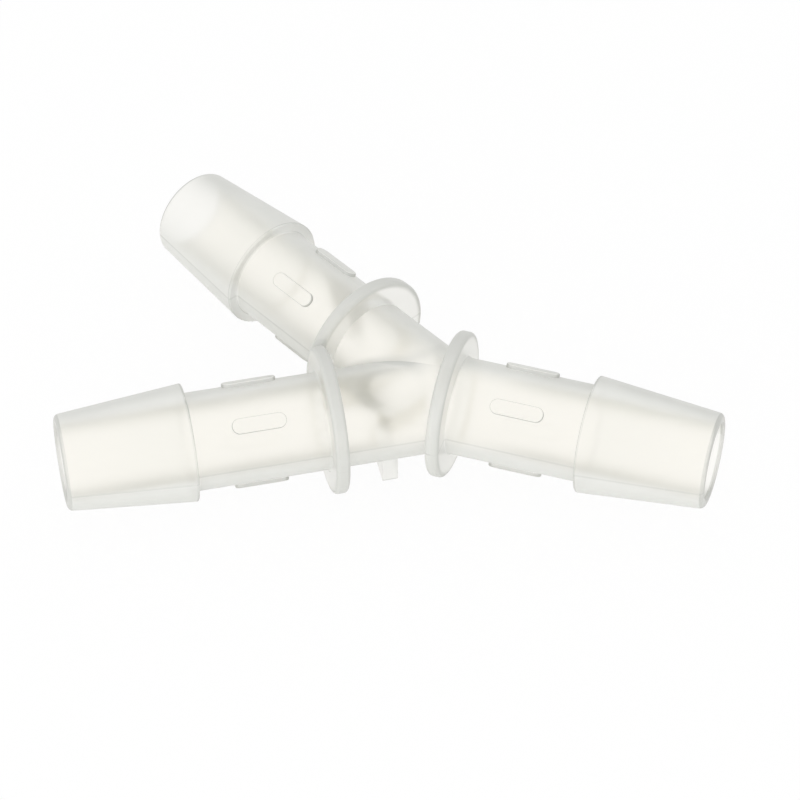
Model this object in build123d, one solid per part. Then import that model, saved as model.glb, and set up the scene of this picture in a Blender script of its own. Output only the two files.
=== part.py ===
"""Y connector for flexible tubing, moulded in one piece: a stem and two legs, each ending in a hose barb.

The bores' axes lie in the plane Z = 0 and meet at the origin. The stem runs along +X and the legs run
to either side of -X. Each arm has a stop flange, a plain neck with raised pads, and a tapered barb.
"""

import os

from build123d import *

# Driving dimensions, in millimetres and degrees
bore_diameter = 9.4
neck_diameter = 12.1
barb_diameter = 14.6  # at the step, where the barb grips the tubing
tip_diameter = 11.8  # at the mouth, where the tubing starts
flange_diameter = 18.3

leg_angle = 60.0  # between the two legs
stem_root = 0.5  # hub centre to the stem's flange
leg_root = 13.3  # hub centre to each leg's flange
flange_thickness = 1.7
neck_length = 16.5
barb_length = 15.8

rim_round = 0.5
neck_round = 0.3
step_round = 0.2
lip_round = 0.7
mouth_chamfer = 0.25

pad_length = 6.7
pad_width = 1.9
pad_height = 0.5
pad_gap = 5.0  # flange to the near end of each pad
pad_angle = 54.5  # each pad's direction from the plane of the Y, round the neck
pad_round = 0.2

foot_thickness = 1.9
foot_width = 6.6
foot_distance = 7.2  # hub centre to the middle of each foot, along its leg
foot_round = 0.5

# Values that follow from them
bore_radius = bore_diameter / 2
neck_radius = neck_diameter / 2
barb_radius = barb_diameter / 2
tip_radius = tip_diameter / 2
flange_radius = flange_diameter / 2
pad_radius = neck_radius + pad_height
wall_middle = (bore_radius + neck_radius) / 2
leg_turns = (180 - leg_angle / 2, 180 + leg_angle / 2)
pad_turns = (pad_angle, 180 - pad_angle, 180 + pad_angle, 360 - pad_angle)


def tip_of(root):
    """Distance from the hub centre to the mouth of an arm whose flange starts at root."""
    return root + flange_thickness + neck_length + barb_length


def turned_arm(root):
    """An arm without its bore, turned about +X: hub tube, flange, neck and barb."""
    face = root + flange_thickness
    step = face + neck_length
    tip = step + barb_length
    corners = [
        ((root, neck_radius), 0),
        ((root, flange_radius), rim_round),
        ((face, flange_radius), rim_round),
        ((face, neck_radius), neck_round),
        ((step, neck_radius), neck_round),
        ((step, barb_radius), step_round),
        ((tip, tip_radius), lip_round),
    ]
    points = [(0, neck_radius)] + [point for point, _ in corners] + [(tip, 0)]
    outline = FilletPolyline(*points, radius=[size for _, size in corners])
    to_axis = Polyline((tip, 0), (0, 0), (0, neck_radius))
    return revolve(make_face(outline + to_axis), Axis.X)


def neck_pads(root):
    """The raised pads round one neck, each a slot shape that follows the neck's curve."""
    middle = root + flange_thickness + pad_gap + pad_length / 2
    column = extrude(SlotOverall(pad_length, pad_width), pad_radius)
    sleeve = Rot(0, 90, 0) * (Cylinder(pad_radius, pad_length) - Cylinder(wall_middle, pad_length))
    pad = column & sleeve
    pad = fillet(pad.faces().sort_by(Axis.Z)[-1].edges(), pad_round)
    return [Pos(middle, 0, 0) * Rot(turn - 90, 0, 0) * pad for turn in pad_turns]


def foot():
    """The plate under one leg that stands level with the flanges' rims."""
    below = (Align.CENTER, Align.CENTER, Align.MAX)
    plate = Box(foot_thickness, foot_width, flange_radius, align=below)
    plate = fillet(plate.edges().filter_by(Axis.X).group_by(Axis.Z)[0], foot_round)
    return Pos(foot_distance, 0, 0) * plate


def bore(root):
    """The passage through one arm, with a small chamfer at the mouth."""
    tip = tip_of(root)
    mouth = bore_radius + mouth_chamfer
    section = Polyline(
        (0, 0),
        (0, bore_radius),
        (tip - mouth_chamfer, bore_radius),
        (tip, mouth),
        (tip, 0),
        close=True,
    )
    return revolve(make_face(section), Axis.X)


def connector():
    """The whole connector: three arms joined at the hub, then bored through."""
    stem = turned_arm(stem_root) + neck_pads(stem_root)
    leg = turned_arm(leg_root) + neck_pads(leg_root) + foot()
    body = stem
    for turn in leg_turns:
        body += Rot(0, 0, turn) * leg
    body -= bore(stem_root)
    for turn in leg_turns:
        body -= Rot(0, 0, turn) * bore(leg_root)
    return body


os.makedirs("parts", exist_ok=True)
export_step(connector(), "parts/y_connector.step")
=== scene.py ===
import math

import bpy
from mathutils import Matrix, Vector


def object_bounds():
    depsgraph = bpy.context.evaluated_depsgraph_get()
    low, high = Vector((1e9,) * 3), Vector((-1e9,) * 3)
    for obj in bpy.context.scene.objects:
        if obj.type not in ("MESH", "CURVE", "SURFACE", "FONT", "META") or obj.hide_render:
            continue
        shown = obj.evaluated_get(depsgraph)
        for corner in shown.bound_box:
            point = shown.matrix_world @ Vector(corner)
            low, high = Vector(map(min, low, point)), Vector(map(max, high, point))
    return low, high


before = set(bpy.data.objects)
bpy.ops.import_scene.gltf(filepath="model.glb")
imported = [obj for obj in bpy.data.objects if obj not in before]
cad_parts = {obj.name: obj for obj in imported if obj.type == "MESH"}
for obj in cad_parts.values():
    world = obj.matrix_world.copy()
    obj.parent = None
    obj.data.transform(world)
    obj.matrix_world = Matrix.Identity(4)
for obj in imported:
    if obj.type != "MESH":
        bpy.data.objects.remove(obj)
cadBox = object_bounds()
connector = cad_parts["y_connector"]
print("frame loaded:", ", ".join(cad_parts))

# Camera

cameraSettings = {
    "lens": 157.5,  # mm
    "sensor": 36,
    "elevation": 45.2,
    "azimuth": 17.5,  # turned from the front towards the stem
    "roll": -0.2,
    "distance": 0.4304,  # from the hub
    "hubRight": 0.0051,  # where the hub sits in the view, from its middle
    "hubBelow": 0.0002,
    "clip": (0.01, 10),
}


def addCamera(s):
    data = bpy.data.cameras.new("camera")
    data.lens = s["lens"]
    data.sensor_width = s["sensor"]
    data.clip_start, data.clip_end = s["clip"]
    camera = bpy.data.objects.new("camera", data)
    bpy.context.collection.objects.link(camera)
    turn = (
        Matrix.Rotation(math.radians(s["azimuth"]), 3, "Z")
        @ Matrix.Rotation(math.radians(90 - s["elevation"]), 3, "X")
        @ Matrix.Rotation(math.radians(s["roll"]), 3, "Z")
    )
    place = turn @ Vector((-s["hubRight"], s["hubBelow"], s["distance"]))
    camera.matrix_world = Matrix.Translation(place) @ turn.to_4x4()
    bpy.context.scene.camera = camera


# Shader helpers

layoutSettings = {"columnWidth": 220, "rowHeight": 240}  # of the nodes, in the editor


def newMaterial(name):
    material = bpy.data.materials.new(name)
    material.use_nodes = True
    material.node_tree.nodes.clear()
    return material, material.node_tree


def addNode(tree, kind, **values):
    # a value goes to the input of that name, or else to the node's own setting
    node = tree.nodes.new(kind)
    for key, value in values.items():
        if key in node.inputs:
            node.inputs[key].default_value = value
        else:
            setattr(node, key, value)
    return node


def fillInputs(tree, node, inputs):
    # links what comes from another node, and sets plain values
    for socket, value in zip(node.inputs, inputs):
        if isinstance(value, bpy.types.NodeSocket):
            tree.links.new(value, socket)
        else:
            socket.default_value = value


def mathNode(tree, operation, *inputs):
    node = addNode(tree, "ShaderNodeMath", operation=operation)
    fillInputs(tree, node, inputs)
    return node.outputs[0]


def vectorNode(tree, operation, *inputs):
    node = addNode(tree, "ShaderNodeVectorMath", operation=operation)
    fillInputs(tree, node, inputs)
    return node.outputs["Value"]


def mapNode(tree, value, start, end, least=0, most=1):
    node = addNode(tree, "ShaderNodeMapRange", interpolation_type="SMOOTHSTEP")
    fillInputs(tree, node, (value, start, end, least, most))
    return node.outputs["Result"]


def joined(tree, operation, values):
    total = values[0]
    for value in values[1:]:
        total = mathNode(tree, operation, total, value)
    return total


def layOut(tree, out):
    # columns by how many nodes lie between each node and the output
    columns = {out.name: 0}
    waiting = [out]
    while waiting:
        node = waiting.pop(0)
        for socket in node.inputs:
            for link in socket.links:
                column = columns[node.name] + 1
                if columns.get(link.from_node.name, 0) < column:
                    columns[link.from_node.name] = column
                    waiting.append(link.from_node)
    width, height = layoutSettings["columnWidth"], layoutSettings["rowHeight"]
    rows = {}
    for name, column in columns.items():
        row = rows.get(column, 0)
        rows[column] = row + 1
        tree.nodes[name].location = (-width * column, -height * row)


def seenRays(tree):
    # 1 for what the camera sees, straight, mirrored or through the plastic
    rays = addNode(tree, "ShaderNodeLightPath")
    kinds = ("Is Camera Ray", "Is Glossy Ray", "Is Transmission Ray")
    return joined(tree, "MAXIMUM", [rays.outputs[kind] for kind in kinds])


# Plastic

armAngles = (0, 150, 210)  # directions of the stem, the leg on +Y and the leg on -Y
armReaches = (0.0345, 0.0473, 0.0473)  # hub centre to each arm's mouth
armWays = [Vector((math.cos(math.radians(angle)), math.sin(math.radians(angle)), 0)) for angle in armAngles]

# lengths are in metres
plasticSettings = {
    "clearColour": (1.0, 0.987, 0.955, 1),  # thin walls let warm light through
    "clearRoughness": 0.4,
    "clearIor": 1.1,  # low, so that depth shows and not the bending of a clear glass
    "absorbColour": (0.55, 0.62, 0.60, 1),
    "absorbDensity": 25.0,
    "milkColour": (0.71, 0.715, 0.68, 1),
    "paintedShadeColour": (0.5, 0.505, 0.475, 1),  # painted shade: the milk's colour where most plastic lies behind it or shade falls; the seam's own dark line uses it too
    "milkRoughness": 0.45,
    "milkRoughnessChange": 0.06,
    "milkStart": 0.12,  # how far a face turns from the view before it goes milky
    "milkEnd": 0.65,
    "milkMost": 0.9,
    "milkInside": 0.6,  # share of it on walls seen through other walls
    "endStart": 0.9,  # how square to an arm's axis a face is before it counts as the end of a thin plate
    "endEnd": 0.97,
    "endMilk": 0.35,
    "hubClear": 0.0060,  # the bores' walls are clear up to this far from the hub centre
    "hubReach": 0.0140,  # and as milky as elsewhere from here on
    # how much milk each mark adds, and how far it takes its colour to the painted shade colour; all marks but
    # the seam are painted shade
    "marks": {
        "thick": (0.85, 0.3),
        "seam": (0.2, 0.36),
        "crease": (0.6, 0.35),
        "lip": (0.5, 0.6),
        "inner": (1.15, 1.0),
        "padWall": (0.7, 0.7),
        "step": (0.25, 0.5),
    },
    "boreRadius": 0.0052,  # nearer to an arm's axis than this is a bore's wall
    "thickStart": 0.0082,  # distance from an arm's axis at which the plastic is thick and gets painted shade
    "thickEnd": 0.0089,
    "footStart": 0.0098,  # distances from the hub centre between which it is a foot instead, which is thin
    "footEnd": 0.0155,
    "seamHalf": 0.0001,  # the mould's parting line, at half the height
    "edgeWidth": 0.0001,  # of its soft edge, and the lip's
    "creaseWidth": 0.0012,  # of the painted shade where the legs' walls run together
    "creaseStart": 0.0015,  # along the legs
    "creaseFull": 0.0045,
    "lipWidth": 0.0004,  # the painted shade on the rim of each mouth
    "footPlace": 0.0074,  # along the leg on -Y, whose bore gets painted shade over the foot
    "footHalf": 0.0006,
    "footEdge": 0.0014,
    "webStart": 0.0010,  # both bores get painted shade before the web between them
    "webEnd": 0.0036,
    "innerLow": -0.0048,  # heights between which the painted shade in the bores comes up
    "innerHigh": -0.0020,
    "padRadius": 0.00628,  # middle of the pads' walls, which get painted shade, from the arm's axis
    "padHalfHeight": 0.00021,
    "padFromMouth": 0.02395,
    "padHalfLength": 0.0037,
    "stepFromMouth": 0.0157,  # the barb's widest edge, which gets painted shade
    "stepHalf": 0.0002,
    "cloudScale": 140.0,
    "cloudDetail": 3.0,
    "cloudMilk": 0.12,
    "grainScale": 5200.0,
    "grainDetail": 2.0,
    "grainHeight": 0.00001,
    "noiseLow": 0.3,  # the part of both noises that counts
    "noiseHigh": 0.7,
}


def armMeasures(tree, place):
    # how a place lies to the arms: from their axes, along them and past their mouths
    distances, stations, ends = [], [], []
    for way, reach in zip(armWays, armReaches):
        along = vectorNode(tree, "DOT_PRODUCT", place, way)
        stations.append(along)
        ends.append(mathNode(tree, "SUBTRACT", along, reach))
        foot = addNode(tree, "ShaderNodeVectorMath", operation="SCALE")
        foot.inputs[0].default_value = way
        tree.links.new(mathNode(tree, "MAXIMUM", along, 0), foot.inputs["Scale"])
        distances.append(vectorNode(tree, "DISTANCE", place, foot.outputs[0]))
    nearest = joined(tree, "MINIMUM", distances)
    furthest = joined(tree, "MAXIMUM", distances)
    second = mathNode(tree, "SUBTRACT", joined(tree, "ADD", distances), furthest)
    second = mathNode(tree, "SUBTRACT", second, nearest)
    return {
        "distance": nearest,
        "apart": mathNode(tree, "SUBTRACT", second, nearest),  # how much further the second arm is
        "past": joined(tree, "MAXIMUM", ends),
        "alongLegs": joined(tree, "MAXIMUM", stations[1:]),
        "alongFrontLeg": stations[2],
    }


def paintedShadeAndSeamMasks(tree, place, m, s):
    # masks for the places where the plastic looks milkier or darker than its slope alone makes it: painted
    # shade on thick rims, the crease, lips, bores, pad walls and steps, and the mould's seam line
    marks = {}
    split = addNode(tree, "ShaderNodeSeparateXYZ")
    tree.links.new(place, split.inputs[0])
    z = split.outputs["Z"]
    outside = mathNode(tree, "GREATER_THAN", m["distance"], s["boreRadius"])
    inside = mathNode(tree, "SUBTRACT", 1, outside)

    # painted shade on the thick flange rims, apart from the feet
    fromHub = vectorNode(tree, "LENGTH", place)
    beforeFoot = mathNode(tree, "LESS_THAN", fromHub, s["footStart"])
    afterFoot = mathNode(tree, "GREATER_THAN", fromHub, s["footEnd"])
    thick = mapNode(tree, m["distance"], s["thickStart"], s["thickEnd"])
    marks["thick"] = mathNode(tree, "MULTIPLY", thick, mathNode(tree, "ADD", beforeFoot, afterFoot))

    height = mathNode(tree, "ABSOLUTE", z)
    seam = mapNode(tree, height, s["seamHalf"], s["seamHalf"] + s["edgeWidth"], 1, 0)
    marks["seam"] = mathNode(tree, "MULTIPLY", seam, outside)

    # painted shade in the crease between the legs
    onLegs = mapNode(tree, m["alongLegs"], s["creaseStart"], s["creaseFull"])
    crease = mapNode(tree, m["apart"], 0, s["creaseWidth"], 1, 0)
    marks["crease"] = joined(tree, "MULTIPLY", [crease, outside, onLegs])

    # painted shade on the rim of each mouth
    marks["lip"] = mapNode(tree, m["past"], -s["lipWidth"] - s["edgeWidth"], -s["lipWidth"])

    # painted shade in the bores: over the front foot and before the web
    overFoot = mathNode(tree, "ABSOLUTE", mathNode(tree, "SUBTRACT", m["alongFrontLeg"], s["footPlace"]))
    overFoot = mapNode(tree, overFoot, s["footHalf"], s["footHalf"] + s["footEdge"], 1, 0)
    web = mapNode(tree, m["apart"], s["webStart"], s["webEnd"], 1, 0)
    web = mathNode(tree, "MULTIPLY", web, onLegs)
    inner = mathNode(tree, "MAXIMUM", overFoot, web)
    upper = mapNode(tree, z, s["innerLow"], s["innerHigh"])
    marks["inner"] = joined(tree, "MULTIPLY", [inner, inside, upper])

    # painted shade on the pads' walls
    padWall = mathNode(tree, "COMPARE", m["distance"], s["padRadius"], s["padHalfHeight"])
    padPlace = mathNode(tree, "COMPARE", m["past"], -s["padFromMouth"], s["padHalfLength"])
    marks["padWall"] = mathNode(tree, "MULTIPLY", padWall, padPlace)

    # painted shade along the barb's widest edge
    step = mathNode(tree, "COMPARE", m["past"], -s["stepFromMouth"], s["stepHalf"])
    marks["step"] = mathNode(tree, "MULTIPLY", step, outside)

    # the bores' walls in the hub stay clear, but for the painted shade in them
    shown = mapNode(tree, fromHub, s["hubClear"], s["hubReach"])
    shown = joined(tree, "MAXIMUM", [shown, outside, marks["inner"]])
    return marks, shown


def milkShare(tree, marks, shown, cloud, s):
    # faces turned from the view, apart from the ends of thin plates, then the marks
    facing = addNode(tree, "ShaderNodeLayerWeight", Blend=0.5)
    turned = mapNode(tree, facing.outputs["Facing"], s["milkStart"], s["milkEnd"], 0, s["milkMost"])
    geometry = addNode(tree, "ShaderNodeNewGeometry")
    normal = geometry.outputs["True Normal"]
    squares = [mathNode(tree, "ABSOLUTE", vectorNode(tree, "DOT_PRODUCT", normal, way)) for way in armWays]
    ends = mapNode(tree, joined(tree, "MAXIMUM", squares), s["endStart"], s["endEnd"], 1, s["endMilk"])
    share = mathNode(tree, "MULTIPLY", turned, ends)
    for name, (milk, _) in s["marks"].items():
        share = mathNode(tree, "MULTIPLY_ADD", marks[name], milk, share)
    change = mathNode(tree, "MULTIPLY_ADD", cloud, s["cloudMilk"], 1)
    share = mathNode(tree, "MINIMUM", mathNode(tree, "MULTIPLY", share, change), 1)

    # less of it on what is seen through other walls, and none on a face met from inside the plastic
    rays = addNode(tree, "ShaderNodeLightPath")
    seen = mathNode(tree, "MULTIPLY_ADD", rays.outputs["Is Camera Ray"], 1 - s["milkInside"], s["milkInside"])
    front = mathNode(tree, "SUBTRACT", 1, geometry.outputs["Backfacing"])
    return joined(tree, "MULTIPLY", [share, seen, front, shown])


def plasticMaterial(s):
    material, tree = newMaterial("naturalPolypropylene")
    place = addNode(tree, "ShaderNodeTexCoord").outputs["Object"]
    marks, shown = paintedShadeAndSeamMasks(tree, place, armMeasures(tree, place), s)

    # faint clouds and a fine satin grain
    clouds = addNode(tree, "ShaderNodeTexNoise", Scale=s["cloudScale"], Detail=s["cloudDetail"])
    grain = addNode(tree, "ShaderNodeTexNoise", Scale=s["grainScale"], Detail=s["grainDetail"])
    tree.links.new(place, clouds.inputs["Vector"])
    tree.links.new(place, grain.inputs["Vector"])
    cloud = mapNode(tree, clouds.outputs["Fac"], s["noiseLow"], s["noiseHigh"], -1, 1)
    smoothest = s["milkRoughness"] - s["milkRoughnessChange"]
    roughest = s["milkRoughness"] + s["milkRoughnessChange"]
    satin = mapNode(tree, grain.outputs["Fac"], s["noiseLow"], s["noiseHigh"], smoothest, roughest)
    bump = addNode(tree, "ShaderNodeBump", Strength=1.0, Distance=s["grainHeight"])
    tree.links.new(grain.outputs["Fac"], bump.inputs["Height"])

    clear = addNode(tree, "ShaderNodeBsdfPrincipled")
    clear.inputs["Base Color"].default_value = s["clearColour"]
    clear.inputs["Roughness"].default_value = s["clearRoughness"]
    clear.inputs["IOR"].default_value = s["clearIor"]
    clear.inputs["Transmission Weight"].default_value = 1

    milk = addNode(tree, "ShaderNodeBsdfPrincipled")
    # painted shade: the marks take the milk's colour towards the shade colour, the seam as its own dark line
    paintedShades = [mathNode(tree, "MULTIPLY", marks[name], shade) for name, (_, shade) in s["marks"].items()]
    paintedShadeTint = addNode(tree, "ShaderNodeMix", data_type="RGBA")
    paintedShadeTint.inputs[6].default_value = s["milkColour"]
    paintedShadeTint.inputs[7].default_value = s["paintedShadeColour"]
    tree.links.new(joined(tree, "MAXIMUM", paintedShades), paintedShadeTint.inputs[0])
    tree.links.new(paintedShadeTint.outputs[2], milk.inputs["Base Color"])
    tree.links.new(satin, milk.inputs["Roughness"])
    tree.links.new(bump.outputs[0], milk.inputs["Normal"])

    mix = addNode(tree, "ShaderNodeMixShader")
    fillInputs(tree, mix, (milkShare(tree, marks, shown, cloud, s), clear.outputs[0], milk.outputs[0]))
    body = addNode(tree, "ShaderNodeVolumeAbsorption")
    body.inputs["Color"].default_value = s["absorbColour"]
    body.inputs["Density"].default_value = s["absorbDensity"]
    out = addNode(tree, "ShaderNodeOutputMaterial")
    tree.links.new(mix.outputs[0], out.inputs["Surface"])
    tree.links.new(body.outputs[0], out.inputs["Volume"])
    layOut(tree, out)
    return material


# Floor and light

stageSettings = {
    "floorSize": 3.0,
    "floorColour": (0.98, 0.98, 0.975, 1),
    "floorGlow": 0.94,  # share of plain white that the floor shows
    "worldColour": (1, 1, 1, 1),
    "worldStrength": 0.9,
    "keyPower": 1.9,
    "keySize": 0.5,
    "keyPlace": (-0.1, -0.78, 0.3),
}


def addFloor(s):
    half = s["floorSize"] / 2
    z = cadBox[0].z
    corners = [(-half, -half, z), (half, -half, z), (half, half, z), (-half, half, z)]
    mesh = bpy.data.meshes.new("floor")
    mesh.from_pydata(corners, [], [(0, 1, 2, 3)])
    floor = bpy.data.objects.new("floor", mesh)
    bpy.context.collection.objects.link(floor)
    material, tree = newMaterial("paper")
    plain = addNode(tree, "ShaderNodeBsdfDiffuse", Color=s["floorColour"])
    glow = addNode(tree, "ShaderNodeEmission")
    mix = addNode(tree, "ShaderNodeMixShader")
    share = mathNode(tree, "MULTIPLY", seenRays(tree), s["floorGlow"])
    fillInputs(tree, mix, (share, plain.outputs[0], glow.outputs[0]))
    out = addNode(tree, "ShaderNodeOutputMaterial")
    tree.links.new(mix.outputs[0], out.inputs["Surface"])
    layOut(tree, out)
    mesh.materials.append(material)


def addWorld(s):
    # plain white to the camera, a little less on the object
    world = bpy.data.worlds.new("studio")
    bpy.context.scene.world = world
    world.use_nodes = True
    tree = world.node_tree
    tree.nodes.clear()
    sky = addNode(tree, "ShaderNodeBackground", Color=s["worldColour"])
    strength = mathNode(tree, "MULTIPLY_ADD", seenRays(tree), 1 - s["worldStrength"], s["worldStrength"])
    tree.links.new(strength, sky.inputs["Strength"])
    out = addNode(tree, "ShaderNodeOutputWorld")
    tree.links.new(sky.outputs[0], out.inputs["Surface"])
    layOut(tree, out)


def addKey(s):
    data = bpy.data.lights.new("key", "AREA")
    data.size = s["keySize"]
    data.energy = s["keyPower"]
    lamp = bpy.data.objects.new("key", data)
    bpy.context.collection.objects.link(lamp)
    lamp.location = s["keyPlace"]
    lamp.rotation_euler = (-Vector(s["keyPlace"])).to_track_quat("-Z", "Y").to_euler()  # aimed at the hub


addCamera(cameraSettings)
print("camera placed")
connector.data.materials.clear()
connector.data.materials.append(plasticMaterial(plasticSettings))
print("plastic made")
addFloor(stageSettings)
addWorld(stageSettings)
addKey(stageSettings)
print("floor and light made")

bpy.context.scene.view_settings.view_transform = "Standard"
